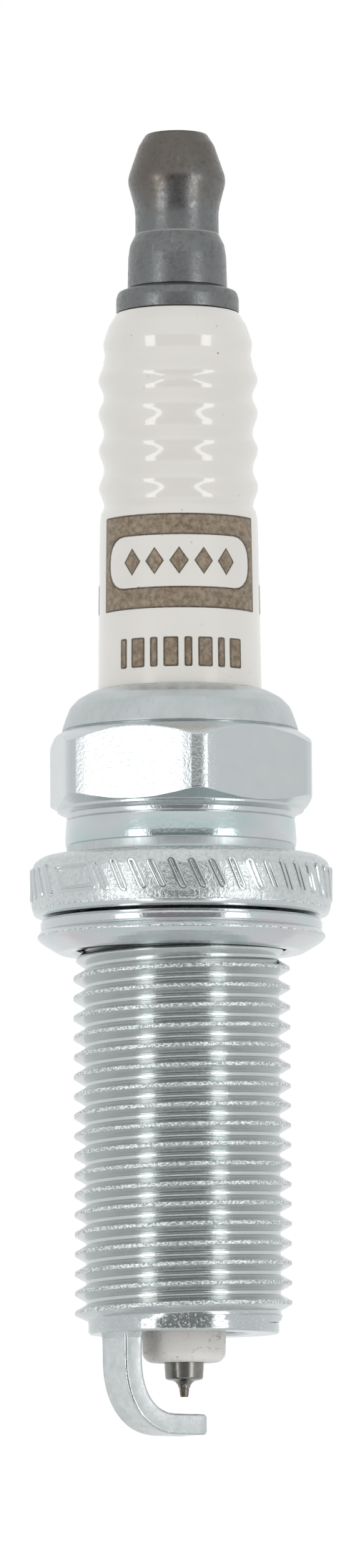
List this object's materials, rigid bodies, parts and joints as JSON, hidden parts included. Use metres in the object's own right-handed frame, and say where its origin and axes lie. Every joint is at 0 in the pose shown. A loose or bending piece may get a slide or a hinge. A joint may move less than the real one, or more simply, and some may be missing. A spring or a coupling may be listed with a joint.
{
  "type": "spark plug",
  "caption": "Long-reach spark plug with a ribbed ceramic insulator, hexagon shell, folded gasket, screw-on terminal nut and bent ground strap.",
  "frame": {"origin": "on the plug's axis, in the plane of the gasket's lower face, where the plug seats on the cylinder head", "axes": "+Z along the plug's axis towards the terminal; +Y and -Y are square to two of the hexagon's flats; the ground strap hangs on the -X side"},
  "size_m": [0.0192, 0.019, 0.0833],
  "materials": {
    "zinc_plated_steel": "bright zinc plate, slightly blue, over rolled and turned steel",
    "strap_nickel": "zinc-plated nickel alloy strap with sheared edges",
    "glazed_alumina": "warm white glaze with a printed bronze-brown band",
    "dark_plated_steel": "dull dark nickel plate with fine scuffs",
    "electrode_nickel": "turned nickel alloy",
    "iridium": "drawn wire, laser welded",
    "copper": "bare copper",
    "copper_glass": "fused copper-bearing glass",
    "carbon_glass": "fused carbon-bearing glass",
    "bare_steel": "bare steel",
    "talc": "pressed powder"
  },
  "bodies": {
    "plug_body": {"shell": "zinc_plated_steel", "ground_electrode": "strap_nickel", "insulator": "glazed_alumina", "terminal_stud": "dark_plated_steel", "upper_glass_seal": "copper_glass", "resistor": "carbon_glass", "lower_glass_seal": "copper_glass", "centre_electrode": "electrode_nickel", "centre_electrode_core": "copper", "iridium_tip": "iridium", "upper_packing_ring": "bare_steel", "talc_packing": "talc", "shoulder_packing_ring": "bare_steel", "lower_packing_washer": "bare_steel"},
    "terminal_cap": {"terminal_nut": "dark_plated_steel"},
    "seat_gasket": {"gasket": "zinc_plated_steel"}
  },
  "joints": [
    {"name": "terminal_nut_unscrew", "type": "slide", "parent": "plug_body", "child": "terminal_cap", "axis": [0, 0, 1], "range_m": [0, 0.0095]},
    {"name": "gasket_spin", "type": "hinge", "parent": "plug_body", "child": "seat_gasket", "pos_m": [0, 0, 0.001], "axis": [0, 0, 1], "continuous": true}
  ]
}
